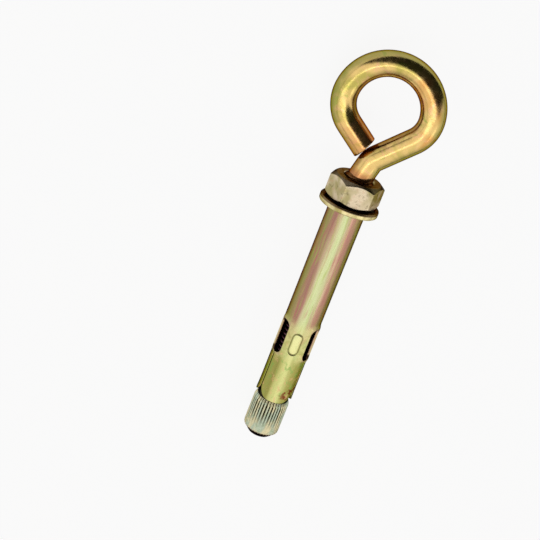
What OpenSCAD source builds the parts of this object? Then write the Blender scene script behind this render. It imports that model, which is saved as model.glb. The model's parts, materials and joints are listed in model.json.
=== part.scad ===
// Sleeve anchor with a closed eye, lying on its side.
// Every piece is drawn upright first: the anchor's axis is Z, the eye is on top with
// its flat side square to Y, and the washer's underside is at zero. The module
// at_rest() then turns and lifts it to the way it lies on a flat surface.

/* [Eye bolt] */
// Diameter of the round bar that is bent to the eye
rod_d = 6.7; // [6.5:0.1:7.2]
// Outer diameter of the thread rolled on the shank
thread_d = 7.8; // [7.6:0.05:8]
// Thread left free above the nut
thread_spare = 1; // [0.6:0.1:1.6]
// Thread that stands out below the cone nut
thread_tip = 1.4; // [0.8:0.1:4]
// Width of the chamfer at the thread's lower end
tip_chamfer = 0.7; // [0.3:0.1:1]
// Mean radius of the eye's round part
eye_r = 11.4; // [10.6:0.1:14]
// How far the eye's centre stands beside the shank's axis
eye_shift = 0.2; // [0:0.05:0.5]
// Mean radius of the bend from the rising bar into the round
bar_bend_r = 8.2; // [6:0.5:9]
// Mean radius of the bend from the round into the tail
tail_bend_r = 9.2; // [6:0.5:9.5]
// How far the rising bar cuts inside the eye's round
bar_flat = 1.1; // [1:0.1:2.2]
// How far the tail cuts inside the eye's round
tail_flat = 1.1; // [0.6:0.1:1.6]
// Lean of the neck away from the shank's axis, in degrees
neck_lean = 13; // [6:1:14]
// Length of the neck from the shank's end to its elbow
neck_len = 5.55; // [5.2:0.05:9]
// Mean radius of the easy bend below the neck
neck_bend_r = 10; // [6:0.5:12]
// Lean of the rising bar away from the shank's axis, in degrees
bar_lean = 43.4; // [38:0.2:46]
// Mean radius of the sharp elbow between the neck and the bar
elbow_r = 4.2; // [3.8:0.1:6]
// Slope of the tail below the level, in degrees
tail_slope = 36.5; // [32:0.5:42]
// Gap between the tail's sheared end and the elbow
tail_gap = 0.4; // [0.2:0.05:1]

/* [Nut and washer] */
// Width of the nut across its flats
nut_af = 13; // [12.4:0.1:14]
// Height of the nut
nut_h = 6.7; // [5.5:0.1:8]
// Turn of the nut's corners around the axis, in degrees
nut_turn = 12.3; // [0:0.1:59.9]
// Slope of the nut's corner chamfers, in degrees
nut_chamfer = 38; // [20:1:40]
// Width of those chamfers inside the nut's flats
face_step = 0.5; // [0.1:0.1:0.8]
// Clearance between the thread and the bores that run on it, on the radius
thread_gap = 0.05; // [0.02:0.01:0.09]
// Depth of the countersinks at the nut's bore
sink_h = 0.4; // [0.2:0.05:0.6]
// Outer diameter of the washer
washer_d = 16; // [15:0.1:18]
// Thickness of the washer
washer_t = 1.6; // [1.2:0.1:2]
// Clearance between the thread and the washer's hole, on the radius
washer_gap = 0.3; // [0.1:0.05:0.4]
// Radius of the washer's rounded outer edges
washer_round = 0.5; // [0.2:0.05:0.55]

/* [Sleeve] */
// Outer diameter of the rolled sleeve
sleeve_d = 10; // [9.8:0.1:10.6]
// Thickness of the sleeve's sheet
sleeve_t = 0.7; // [0.5:0.05:0.8]
// Length of the sleeve from the washer to the tips of its leaves
sleeve_len = 57.5; // [48:0.5:64]
// Number of leaves, with a window and a slit between each two
leaves = 3; // [3:1:3]
// Turn of the first window around the axis, in degrees
window_turn = -142.8; // [-180:0.1:180]
// Width of the windows
window_w = 3.9; // [3:0.1:4.2]
// Length of the windows
window_len = 9.8; // [7:0.1:12]
// Radius of the windows' corners
window_round = 1.6; // [0.8:0.1:1.9]
// Height of the windows' middle over the tips of the leaves
window_up = 18.2; // [15:0.1:22]
// Width of the slits between the leaves
slit_w = 0.4; // [0.2:0.05:0.8]
// Width of the seam where the rolled sheet meets itself
seam_w = 0.2; // [0.1:0.05:0.3]
// Radius of the corners at the tips of the leaves
tip_round = 3; // [2:0.1:3.4]
// Width of the oval mark pressed into each leaf
mark_w = 3.1; // [2.4:0.1:3.6]
// Length of the oval marks
mark_len = 6.7; // [5:0.1:8]
// Width of the groove round each mark
mark_line = 0.4; // [0.2:0.05:0.6]
// Depth of that groove
mark_depth = 0.2; // [0.16:0.01:0.3]
// Height of the oval pad that the press leaves inside the sleeve
mark_pad = 0.15; // [0.05:0.05:0.25]
// Play between the sleeve's upper end and the washer
seat_gap = 0.05; // [0.02:0.01:0.2]

/* [Cone nut] */
// Diameter of the knurled part over its teeth
knurl_d = 9.9; // [9.4:0.1:10.4]
// Length of the knurled part
knurl_len = 9.1; // [6:0.1:10]
// Number of teeth of the knurl
knurl_teeth = 36; // [24:1:40]
// Depth of the knurl's grooves
knurl_depth = 0.25; // [0.1:0.05:0.35]
// Slope of the cone's side to the axis, in degrees
cone_slope = 18; // [14:1:26]
// Play between the cone and the tips of the leaves, on the radius
cone_gap = 0.08; // [0.05:0.01:0.2]
// Wall left at the cone's narrow end
cone_edge = 0.18; // [0.1:0.01:0.2]
// Width of the chamfer at the foot of the cone nut
foot_chamfer = 0.6; // [0.3:0.1:1]

/* [Hidden] */
$fn = 96;

// Overlap that lets one cut run into the next
cut = 0.5;
// How far the ball between two lengths of the bar stands proud of both
ball_proud = 0.01;

// Bores and radii that follow from the sizes above
thread_r = thread_d / 2;
rod_r = rod_d / 2;
bore_r = thread_r + thread_gap;
sleeve_r = sleeve_d / 2;
sleeve_in_r = sleeve_r - sleeve_t;
knurl_r = knurl_d / 2;
cone_top_r = bore_r + cone_edge;
cone_tip_r = sleeve_in_r - cone_gap;

// Where the punches through the sleeve start, and the height up to which the notch
// between two leaves is wider than the slit
punch_start = sleeve_in_r / 2;
notch_h = 0.8 * tip_round;

// Heights along the axis, from the washer's underside
nut_top = washer_t + nut_h;
thread_top = nut_top + thread_spare;
tips_z = -sleeve_len - seat_gap;
cone_top = tips_z + (cone_tip_r - cone_top_r) / tan(cone_slope);
shoulder_z = tips_z - (knurl_r - cone_tip_r) / tan(cone_slope);
foot_z = shoulder_z - knurl_len;
bolt_end = foot_z - thread_tip;
window_z = tips_z + window_up;

// Points of the eye's middle line, as [x, z]: the foot of the neck, its elbow, and the
// centre of the round
neck_foot = [0, nut_top + 0.1];
elbow = neck_foot + neck_len * [sin(neck_lean), cos(neck_lean)];
bar_reach = eye_r - bar_flat - (elbow[0] - eye_shift) * cos(bar_lean);
eye_z = elbow[1] + bar_reach / sin(bar_lean);
eye_c = [eye_shift, eye_z];

// The two lower bends touch the round from inside, at these angles from level
bar_meet = -bar_lean + acos((eye_r - bar_flat - bar_bend_r) / (eye_r - bar_bend_r));
tail_out = 270 - tail_slope;
tail_meet = tail_out - acos((eye_r - tail_flat - tail_bend_r) / (eye_r - tail_bend_r));
bar_bend_c = eye_c + (eye_r - bar_bend_r) * [cos(bar_meet), sin(bar_meet)];
tail_bend_c = eye_c + (eye_r - tail_bend_r) * [cos(tail_meet), sin(tail_meet)];

// The elbow's own centre and the straight lengths on both sides of it
elbow_turn = bar_lean - neck_lean;
elbow_cut = elbow_r * tan(elbow_turn / 2);
neck_cut = neck_bend_r * tan(neck_lean / 2);
neck_start = neck_foot + neck_cut * [sin(neck_lean), cos(neck_lean)];
neck_end = elbow - elbow_cut * [sin(neck_lean), cos(neck_lean)];
elbow_c = neck_end + elbow_r * [cos(neck_lean), -sin(neck_lean)];
bar_start = elbow + elbow_cut * [sin(bar_lean), cos(bar_lean)];
bar_end = bar_bend_c + bar_bend_r * [cos(bar_lean), -sin(bar_lean)];

// The tail runs from its bend to a sheared end that faces the elbow
round_start = eye_c + eye_r * [cos(bar_meet), sin(bar_meet)];
round_end = eye_c + eye_r * [cos(tail_meet), sin(tail_meet)];
tail_start = tail_bend_c + tail_bend_r * [cos(tail_out), sin(tail_out)];
tail_way = [cos(tail_slope), -sin(tail_slope)];
shear_lean = (neck_lean + bar_lean) / 2;
shear_way = [-cos(shear_lean), sin(shear_lean)];
shear_off = elbow_r + rod_r + tail_gap;

// How the anchor lies: on the washer's edge, the foot of the cone nut and the tail's
// side of the eye. lie_tilt lifts the eye's end, lie_roll lets its side down.
foot_run = shoulder_z - foot_z - foot_chamfer;
lie_len = washer_round - shoulder_z + foot_run;
lie_drop = washer_d / 2 - washer_round - knurl_r;
lie_tilt = atan(lie_drop / lie_len) + asin(washer_round / norm([lie_len, lie_drop]));
axis_h = (foot_run - shoulder_z) * sin(lie_tilt) + knurl_r * cos(lie_tilt);
eye_drop = axis_h + eye_z * sin(lie_tilt) - rod_r;
side_span = pow(eye_r, 2) - pow(eye_shift, 2);
side_rest = pow(eye_drop, 2) - pow(eye_r * sin(lie_tilt), 2);
side_root = sqrt(pow(eye_shift * eye_drop, 2) + side_span * side_rest);
lie_roll = asin((eye_shift * eye_drop + side_root) / side_span / cos(lie_tilt));

// Middle of the anchor's length, measured along the surface it lies on
eye_top = eye_z + eye_r + rod_r;
eye_end_x = eye_top * cos(lie_tilt) - eye_shift * sin(lie_tilt) * sin(lie_roll);
bolt_end_x = bolt_end * cos(lie_tilt) - (thread_r - tip_chamfer) * sin(lie_tilt);
mid_x = (eye_end_x + bolt_end_x) / 2;

// Turns the upright anchor to its place on the surface, with its axis along X
module at_rest() {
    translate([-mid_x, 0, axis_h])
        rotate([0, 90 - lie_tilt, 0])
            rotate([0, 0, -lie_roll - 90])
                children();
}

// Round bar between two points of the eye's plane
module bar(from, to) {
    way = to - from;
    translate([from[0], 0, from[1]])
        rotate([0, atan2(way[0], way[1]), 0])
            cylinder(d = rod_d, h = norm(way));
}

// Round bar bent about a centre in the eye's plane, from one angle to another
module bend(centre, r, from, to) {
    translate([centre[0], 0, centre[1]])
        rotate([90, 0, 0])
            rotate([0, 0, from])
                rotate_extrude(angle = to - from)
                    translate([r, 0])
                        circle(d = rod_d);
}

// Ball that joins two lengths of the bar where they meet
module ball(at) {
    translate([at[0], 0, at[1]])
        sphere(r = rod_r + ball_proud);
}

// The eye: neck, elbow, rising bar, round and tail, all one bar
module eye() {
    bend([neck_bend_r, neck_foot[1] - neck_cut], neck_bend_r, 180 - neck_lean, 180);
    ball(neck_start);
    bar(neck_start, neck_end);
    ball(neck_end);
    bend(elbow_c, elbow_r, 180 - bar_lean, 180 - neck_lean);
    ball(bar_start);
    bar(bar_start, bar_end);
    ball(bar_end);
    bend(bar_bend_c, bar_bend_r, -bar_lean, bar_meet);
    ball(round_start);
    bend(eye_c, eye_r, bar_meet, tail_meet);
    ball(round_end);
    bend(tail_bend_c, tail_bend_r, tail_meet, tail_out);
    ball(tail_start);
    difference() {
        bar(tail_start, tail_start + 2 * rod_d * tail_way);
        translate([elbow_c[0], 0, elbow_c[1]])
            rotate([0, shear_lean, 0])
                translate([-shear_off, -rod_d, -2 * rod_d])
                    cube([4 * rod_d, 2 * rod_d, 4 * rod_d]);
    }
}

// Threaded shank, chamfered at its end and run out into the bare bar at its top
module shank() {
    run_out = thread_r - rod_r;
    translate([0, 0, bolt_end])
        cylinder(r1 = thread_r - tip_chamfer, r2 = thread_r, h = tip_chamfer);
    translate([0, 0, bolt_end + tip_chamfer])
        cylinder(r = thread_r, h = thread_top - run_out - bolt_end - tip_chamfer);
    translate([0, 0, thread_top - run_out])
        cylinder(r1 = thread_r, r2 = rod_r, h = run_out);
}

module eye_bolt() {
    color("#c8a63c") at_rest() {
        shank();
        eye();
    }
}

// Solid of revolution that takes the corners off both ends of the nut, and stands clear
// of its corners between them
module nut_blank() {
    blank_r = nut_af / sqrt(3) + cut;
    face_r = nut_af / 2 - face_step;
    drop = (blank_r - face_r) * tan(nut_chamfer);
    rotate_extrude()
        polygon([[0, 0], [face_r, 0], [blank_r, drop], [blank_r, nut_h - drop],
                 [face_r, nut_h], [0, nut_h]]);
}

module hex_nut() {
    color("#8c8350") at_rest() translate([0, 0, washer_t]) difference() {
        intersection() {
            rotate([0, 0, nut_turn])
                cylinder(d = nut_af * 2 / sqrt(3), h = nut_h, $fn = 6);
            nut_blank();
        }
        translate([0, 0, -cut])
            cylinder(r = bore_r, h = nut_h + 2 * cut);
        translate([0, 0, -cut])
            cylinder(r1 = bore_r + sink_h + cut, r2 = bore_r, h = sink_h + cut);
        translate([0, 0, nut_h - sink_h])
            cylinder(r1 = bore_r, r2 = bore_r + sink_h + cut, h = sink_h + cut);
    }
}

// Half section of the washer, with both outer edges rounded
module washer_section() {
    in_r = thread_r + washer_gap;
    flat_w = washer_d / 2 - washer_round - in_r;
    translate([in_r, 0])
        square([flat_w, washer_t]);
    translate([in_r, washer_round])
        square([flat_w + washer_round, washer_t - 2 * washer_round]);
    for (h = [washer_round, washer_t - washer_round])
        translate([in_r + flat_w, h])
            circle(r = washer_round);
}

module washer() {
    color("#b5a860") at_rest() rotate_extrude() washer_section();
}

// Outline with round ends, its length along Y
module oval(w, len) {
    square([w, len - w], center = true);
    for (side = [-1, 1])
        translate([0, side * (len - w) / 2])
            circle(d = w);
}

// Rectangle with rounded corners, its length along Y
module window_outline() {
    inner_w = window_w - 2 * window_round;
    inner_len = window_len - 2 * window_round;
    square([window_w, inner_len], center = true);
    square([inner_w, window_len], center = true);
    for (x = [-1, 1], y = [-1, 1])
        translate([x * inner_w / 2, y * inner_len / 2])
            circle(r = window_round);
}

// Punches an outline out of one side of the sleeve, at an angle round the axis
module punch(turn, z) {
    rotate([0, 0, turn])
        translate([punch_start, 0, z])
            rotate([90, 0, 90])
                linear_extrude(sleeve_r + cut - punch_start)
                    children();
}

// All that is cut out between two leaves: window, slit and the notch that rounds the
// corners of their tips
module leaf_gap() {
    corner_x = tip_round + slit_w / 4;
    translate([0, window_up])
        window_outline();
    translate([-slit_w / 2, -cut])
        square([slit_w, window_up + cut]);
    difference() {
        translate([-tip_round, -cut])
            square([2 * tip_round, notch_h + cut]);
        for (side = [-1, 1])
            translate([side * corner_x, tip_round])
                circle(r = tip_round);
    }
}

// Pipe between two radii that covers the marks' height
module mark_ring(r_in, r_out) {
    translate([0, 0, window_z - mark_len])
        difference() {
            cylinder(r = r_out, h = 2 * mark_len);
            translate([0, 0, -cut])
                cylinder(r = r_in, h = 2 * mark_len + 2 * cut);
        }
}

// Groove round each pressed mark, cut from outside
module mark_grooves(turn) {
    intersection() {
        punch(turn, window_z)
            difference() {
                oval(mark_w, mark_len);
                oval(mark_w - 2 * mark_line, mark_len - 2 * mark_line);
            }
        mark_ring(sleeve_r - mark_depth, sleeve_r + cut);
    }
}

// Oval pad that the press pushes out of the sleeve's inner side
module mark_pads(turn) {
    intersection() {
        punch(turn, window_z)
            oval(mark_w - 2 * mark_line, mark_len - 2 * mark_line);
        mark_ring(sleeve_in_r - mark_pad, sleeve_in_r + sleeve_t / 2);
    }
}

module sleeve() {
    pitch = 360 / leaves;
    seam_turn = window_turn - pitch;
    color("#b4b45a") at_rest() {
        difference() {
            translate([0, 0, tips_z])
                cylinder(r = sleeve_r, h = sleeve_len);
            translate([0, 0, tips_z - cut])
                cylinder(r = sleeve_in_r, h = sleeve_len + 2 * cut);
            for (i = [0 : leaves - 1]) {
                turn = window_turn + i * pitch;
                punch(turn, tips_z)
                    leaf_gap();
                mark_grooves(turn + pitch / 2);
            }
            punch(seam_turn, tips_z)
                translate([-seam_w / 2, window_up])
                    square([seam_w, sleeve_len]);
        }
        for (i = [0 : leaves - 1])
            mark_pads(window_turn + (i + 0.5) * pitch);
    }
}

// Toothed outline of the knurl
module knurl_outline() {
    step = 180 / knurl_teeth;
    polygon([for (i = [0 : 2 * knurl_teeth - 1])
        (knurl_r - (i % 2) * knurl_depth) * [cos(i * step), sin(i * step)]]);
}

// Solid of revolution with the cone and the foot's chamfer, which stands clear of the
// knurl's teeth between them
module cone_blank() {
    blank_r = knurl_r + cut;
    rotate_extrude()
        polygon([[0, foot_z], [knurl_r - foot_chamfer, foot_z],
                 [blank_r, foot_z + foot_chamfer + cut],
                 [blank_r, shoulder_z - cut / tan(cone_slope)],
                 [cone_top_r, cone_top], [0, cone_top]]);
}

module cone_nut() {
    color("#9a9a7c") at_rest() difference() {
        intersection() {
            cone_blank();
            translate([0, 0, foot_z - cut])
                linear_extrude(cone_top - foot_z + 2 * cut)
                    knurl_outline();
        }
        translate([0, 0, foot_z - cut])
            cylinder(r = bore_r, h = cone_top - foot_z + 2 * cut);
    }
}

eye_bolt();
hex_nut();
washer();
sleeve();
cone_nut();
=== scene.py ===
"""Sleeve anchor with a closed eye, plated yellow, lying on its side.

Each piece is made upright, in millimetres, with the rod's axis along Z, the eye on top
and the washer's underside at zero. TO_REST then puts it where it lies.
"""
import json
import math

import bmesh
import bpy
from mathutils import Matrix, Vector
from mathutils.geometry import delaunay_2d_cdt


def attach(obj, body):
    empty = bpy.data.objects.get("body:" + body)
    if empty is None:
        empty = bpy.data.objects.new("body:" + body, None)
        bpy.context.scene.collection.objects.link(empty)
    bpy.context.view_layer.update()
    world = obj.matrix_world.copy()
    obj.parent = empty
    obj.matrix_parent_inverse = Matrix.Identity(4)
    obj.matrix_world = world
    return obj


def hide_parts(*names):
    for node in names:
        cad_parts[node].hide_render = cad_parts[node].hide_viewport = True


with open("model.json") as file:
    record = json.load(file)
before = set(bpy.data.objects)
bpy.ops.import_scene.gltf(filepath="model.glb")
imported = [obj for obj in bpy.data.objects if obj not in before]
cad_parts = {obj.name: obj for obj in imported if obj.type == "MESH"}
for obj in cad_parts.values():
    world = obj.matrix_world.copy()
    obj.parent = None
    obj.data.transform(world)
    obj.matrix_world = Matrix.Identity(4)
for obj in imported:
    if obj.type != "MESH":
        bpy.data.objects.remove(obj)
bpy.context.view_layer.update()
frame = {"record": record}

# sizes, in millimetres
MM = 0.001
ROD_R = 3.35
CREST_R = 3.9
ROOT_R = 3.26
PITCH = 1.25
THREAD_TOP = 9.3
THREAD_TIP = 1.4
TIP_CHAMFER = 0.7
THREAD_SIDES = 48
ROWS_PER_TURN = 14
CREST_HALF = 0.09
FLANK = 0.4
RUN_OUT_SLOPE = 0.9
RUN_OUT_SUNK = 0.02

EYE_R = 11.4
EYE_SHIFT = 0.2
BAR_BEND_R = 8.2
TAIL_BEND_R = 9.2
BAR_FLAT = 1.1
TAIL_FLAT = 1.1
NECK_LEAN = 13.0
NECK_LEN = 5.55
NECK_BEND_R = 10.0
BAR_LEAN = 43.4
ELBOW_R = 4.2
TAIL_SLOPE = 36.5
TAIL_GAP = 0.4
TAIL_ROUND = 0.3
BAR_SIDES = 64
TAIL_STARTS = 70.0

NUT_AF = 13.0
NUT_H = 6.7
NUT_TURN = 12.3
NUT_CHAMFER = 38.0
NUT_STEP = 0.5
BORE_R = 3.95
SINK_H = 0.4
WASHER_R = 8.0
WASHER_T = 1.6
WASHER_HOLE_R = 4.2
WASHER_ROUND = 0.5

SLEEVE_R = 5.0
SLEEVE_T = 0.7
SLEEVE_LEN = 57.5
SEAT_GAP = 0.05
LEAVES = 3
WINDOW_TURN = -142.8
WINDOW_W = 3.9
WINDOW_LEN = 9.8
WINDOW_ROUND = 1.6
WINDOW_UP = 18.2
SLIT_W = 0.4
SEAM_W = 0.2
TIP_ROUND = 3.0
MARK_W = 3.1
MARK_LEN = 6.7
MARK_LINE = 0.4
MARK_DEPTH = 0.13
MARK_SPREAD = 0.34
MARK_DROP = 0.3
TIP_DROP = 0.5
LIP_FLARE = 0.24

KNURL_R = 4.95
KNURL_LEN = 9.1
KNURL_TEETH = 36
KNURL_DEPTH = 0.25
KNURL_UNEVEN = 0.014
CONE_SLOPE = 18.0
CONE_GAP = 0.08
CONE_EDGE = 0.18
FOOT_CHAMFER = 0.6

NUT_TOP = WASHER_T + NUT_H
TIPS_Z = -SLEEVE_LEN - SEAT_GAP
WINDOW_Z = TIPS_Z + WINDOW_UP
MARK_Z = WINDOW_Z - MARK_DROP
CONE_TIP_R = SLEEVE_R - SLEEVE_T - CONE_GAP
CONE_TOP_R = BORE_R + CONE_EDGE
CONE_RUN = math.tan(math.radians(CONE_SLOPE))
CONE_TOP = TIPS_Z + (CONE_TIP_R - CONE_TOP_R) / CONE_RUN
SHOULDER_Z = TIPS_Z - (KNURL_R - CONE_TIP_R) / CONE_RUN
FOOT_Z = SHOULDER_Z - KNURL_LEN
BOLT_END = FOOT_Z - THREAD_TIP


# where the anchor lies
def resting_place(record):
    """Matrix from the upright anchor in millimetres to the way it lies, in metres."""
    joints = {j["name"]: j for j in record["behaviour"]["joints"]}
    eye = next(m for m in record["mounts"] if m["name"] == "eye")
    up = Vector(joints["nut_turn"]["axis"]).normalized()
    away = -Vector(eye["axis"])
    away = (away - away.dot(up) * up).normalized()
    right = away.cross(up)
    nut_middle = (WASHER_T + NUT_H / 2) * MM
    turn = Matrix((right, away, up)).transposed().to_4x4()
    place = Matrix.Translation(Vector(joints["nut_turn"]["pos_m"]) - nut_middle * up)
    return place @ turn @ Matrix.Scale(MM, 4)


TO_REST = resting_place(frame["record"])


# helpers for meshes
def new_object(name, verts, faces):
    mesh = bpy.data.meshes.new(name)
    mesh.from_pydata([tuple(v) for v in verts], [], faces)
    mesh.validate()
    obj = bpy.data.objects.new(name, mesh)
    bpy.context.scene.collection.objects.link(obj)
    return obj


def seat(obj, body, material, node=None, sharp=35.0):
    """Lays a finished piece in its place, gives it its finish and its body."""
    mesh = obj.data
    upright = mesh.attributes.new("upright", "FLOAT_VECTOR", "POINT")
    for item, vertex in zip(upright.data, mesh.vertices):
        item.vector = vertex.co
    work = bmesh.new()
    work.from_mesh(mesh)
    bmesh.ops.recalc_face_normals(work, faces=work.faces)
    work.to_mesh(mesh)
    work.free()
    mesh.transform(TO_REST)
    mesh.shade_smooth()
    mesh.set_sharp_from_angle(angle=math.radians(sharp))
    mesh.materials.clear()
    mesh.materials.append(material)
    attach(obj, body)
    if node:
        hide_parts(node)
    return obj


def arc(centre, radius, start, stop, step):
    """Points of an arc, its angles in degrees and its step in millimetres."""
    count = max(2, round(abs(math.radians(stop - start)) * radius / step))
    points = []
    for i in range(count + 1):
        a = math.radians(start + (stop - start) * i / count)
        points.append(
            (centre[0] + radius * math.cos(a), centre[1] + radius * math.sin(a))
        )
    return points


def line(start, stop, step):
    span = math.dist(start, stop)
    count = max(1, round(span / step))
    return [
        (
            start[0] + (stop[0] - start[0]) * i / count,
            start[1] + (stop[1] - start[1]) * i / count,
        )
        for i in range(count + 1)
    ]


def rounded(profile, radii, steps=4):
    """A closed profile of (radius, height) corners, each with its own fillet."""
    out = []
    n = len(profile)
    for i, corner in enumerate(profile):
        here = Vector(corner)
        back = Vector(profile[i - 1]) - here
        ahead = Vector(profile[(i + 1) % n]) - here
        reach = min(radii[i], back.length * 0.45, ahead.length * 0.45)
        if reach <= 0:
            out.append(tuple(here))
            continue
        a = here + back.normalized() * reach
        b = here + ahead.normalized() * reach
        for k in range(steps + 1):
            t = k / steps
            out.append(tuple((1 - t) ** 2 * a + 2 * t * (1 - t) * here + t * t * b))
    return out


def turned(name, angles, profile_at):
    """A closed ring of metal: profile_at(angle) gives its closed section there."""
    verts, faces = [], []
    rows = None
    for a in angles:
        section = profile_at(a)
        rows = len(section)
        for r, z in section:
            verts.append((r * math.cos(a), r * math.sin(a), z))
    n = len(angles)
    for i in range(n):
        j = (i + 1) % n
        for k in range(rows):
            m = (k + 1) % rows
            faces.append((i * rows + k, j * rows + k, j * rows + m, i * rows + m))
    return new_object(name, verts, faces)


# helpers for nodes
def node_tree(name):
    tree = bpy.data.node_groups.new(name, "GeometryNodeTree")
    return tree


def tree_input(tree, name, kind, value=None):
    socket = tree.interface.new_socket(name=name, in_out="INPUT", socket_type=kind)
    if value is not None:
        socket.default_value = value
    return socket


def maths(tree, operation, *values, clamp=False):
    """A Math node; each value is a number or another node's output."""
    node = tree.nodes.new("ShaderNodeMath")
    node.operation = operation
    node.use_clamp = clamp
    for socket, value in zip(node.inputs, values):
        if isinstance(value, (int, float)):
            socket.default_value = value
        else:
            tree.links.new(value, socket)
    return node.outputs[0]


def grown(name, source, tree, values):
    """The plain mesh that a node tree makes from a source mesh."""
    modifier = source.modifiers.new(name, "NODES")
    modifier.node_group = tree
    for item in tree.interface.items_tree:
        if item.item_type == "SOCKET" and item.in_out == "INPUT":
            if item.name in values:
                modifier[item.identifier] = values[item.name]
    graph = bpy.context.evaluated_depsgraph_get()
    mesh = bpy.data.meshes.new_from_object(source.evaluated_get(graph))
    mesh.name = name
    source.modifiers.clear()
    obj = bpy.data.objects.new(name, mesh)
    bpy.context.scene.collection.objects.link(obj)
    bpy.data.objects.remove(source)
    return obj


def ending(tree, geometry, out_node, material_socket):
    """Realize Instances, Set Material and the way out, at the end of a tree."""
    realize = tree.nodes.new("GeometryNodeRealizeInstances")
    paint = tree.nodes.new("GeometryNodeSetMaterial")
    tree.links.new(geometry, realize.inputs[0])
    tree.links.new(realize.outputs[0], paint.inputs["Geometry"])
    tree.links.new(material_socket, paint.inputs["Material"])
    tree.links.new(paint.outputs[0], out_node.inputs[0])


# the eye's bent bar
def bar_route(step=0.3):
    """Middle line of the bent bar from the shank to past its tail, as (x, z) points."""
    lean, rise = math.radians(NECK_LEAN), math.radians(BAR_LEAN)
    neck_way = (math.sin(lean), math.cos(lean))
    foot = (0.0, NUT_TOP + 0.1)
    elbow = (foot[0] + NECK_LEN * neck_way[0], foot[1] + NECK_LEN * neck_way[1])
    reach = EYE_R - BAR_FLAT - (elbow[0] - EYE_SHIFT) * math.cos(rise)
    eye = (EYE_SHIFT, elbow[1] + reach / math.sin(rise))
    bar_meet = -BAR_LEAN + math.degrees(
        math.acos((EYE_R - BAR_FLAT - BAR_BEND_R) / (EYE_R - BAR_BEND_R))
    )
    tail_out = 270 - TAIL_SLOPE
    tail_meet = tail_out - math.degrees(
        math.acos((EYE_R - TAIL_FLAT - TAIL_BEND_R) / (EYE_R - TAIL_BEND_R))
    )

    def from_eye(radius, angle):
        a = math.radians(angle)
        return (eye[0] + radius * math.cos(a), eye[1] + radius * math.sin(a))

    bar_centre = from_eye(EYE_R - BAR_BEND_R, bar_meet)
    tail_centre = from_eye(EYE_R - TAIL_BEND_R, tail_meet)
    elbow_cut = ELBOW_R * math.tan((rise - lean) / 2)
    neck_cut = NECK_BEND_R * math.tan(lean / 2)
    neck_end = (elbow[0] - elbow_cut * neck_way[0], elbow[1] - elbow_cut * neck_way[1])
    elbow_centre = (
        neck_end[0] + ELBOW_R * math.cos(lean),
        neck_end[1] - ELBOW_R * math.sin(lean),
    )
    parts = [
        [(0.0, THREAD_TOP - 2.2), (0.0, foot[1] - neck_cut - 0.05)],
        arc((NECK_BEND_R, foot[1] - neck_cut), NECK_BEND_R, 180, 180 - NECK_LEAN, step),
        arc(elbow_centre, ELBOW_R, 180 - NECK_LEAN, 180 - BAR_LEAN, step),
        arc(bar_centre, BAR_BEND_R, -BAR_LEAN, bar_meet, step),
        arc(eye, EYE_R, bar_meet, tail_meet, step),
        arc(tail_centre, TAIL_BEND_R, tail_meet, tail_out, step),
    ]
    last = parts[-1][-1]
    shear = math.radians((NECK_LEAN + BAR_LEAN) / 2)
    way = (-math.cos(shear), math.sin(shear))
    gap = ELBOW_R + ROD_R + TAIL_GAP
    cut_at = (elbow_centre[0] + gap * way[0], elbow_centre[1] + gap * way[1])
    slope = math.radians(TAIL_SLOPE)
    tail_way = (math.cos(slope), -math.sin(slope))
    reach = (cut_at[0] - last[0]) * way[0] + (cut_at[1] - last[1]) * way[1]
    reach /= tail_way[0] * way[0] + tail_way[1] * way[1]
    route = []
    for part in parts:
        for point in part:
            if route and math.dist(route[-1], point) > 1.5 * step:
                route += line(route[-1], point, step)[1:]
            elif not route or math.dist(route[-1], point) > 0.2 * step:
                route.append(point)
    tail_from = len(route) - 1
    lengths = [d[0] for d in line((0, 0), (reach - TAIL_ROUND, 0), step)[1:]]
    lengths += [
        reach - TAIL_ROUND * (1 - math.sin(math.radians(t))) for t in (22.5, 45, 67.5, 90)
    ]
    origin = route[-1]
    route += [(origin[0] + d * tail_way[0], origin[1] + d * tail_way[1]) for d in lengths]
    return route, tail_from, reach, tail_way, way


def bar_tree():
    """Sweeps a round section along the bar's route."""
    tree = node_tree("bent_bar")
    tree_input(tree, "Route", "NodeSocketGeometry")
    tree_input(tree, "Bar radius", "NodeSocketFloat", ROD_R)
    tree_input(tree, "Sides", "NodeSocketInt", BAR_SIDES)
    tree_input(tree, "Finish", "NodeSocketMaterial")
    tree.interface.new_socket(
        name="Bar", in_out="OUTPUT", socket_type="NodeSocketGeometry"
    )
    way_in = tree.nodes.new("NodeGroupInput")
    way_out = tree.nodes.new("NodeGroupOutput")
    route = tree.nodes.new("GeometryNodeMeshToCurve")
    section = tree.nodes.new("GeometryNodeCurvePrimitiveCircle")
    sweep = tree.nodes.new("GeometryNodeCurveToMesh")
    tree.links.new(way_in.outputs["Route"], route.inputs["Mesh"])
    tree.links.new(way_in.outputs["Sides"], section.inputs["Resolution"])
    tree.links.new(way_in.outputs["Bar radius"], section.inputs["Radius"])
    tree.links.new(route.outputs[0], sweep.inputs["Curve"])
    tree.links.new(section.outputs["Curve"], sweep.inputs["Profile Curve"])
    sweep.inputs["Fill Caps"].default_value = True
    ending(tree, sweep.outputs[0], way_out, way_in.outputs["Finish"])
    return tree


def make_bar(material):
    route, tail_from, reach, tail_way, way = bar_route()
    source = new_object("bar_route", [(x, 0, z) for x, z in route], [])
    source.data.edges.add(len(route) - 1)
    for i, edge in enumerate(source.data.edges):
        edge.vertices = (i, i + 1)
    obj = grown("eye_bar", source, bar_tree(), {"Finish": material})
    mark_sides(obj.data, route)
    shear_tail(obj.data, route, tail_from, reach, tail_way, way)
    return obj


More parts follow.
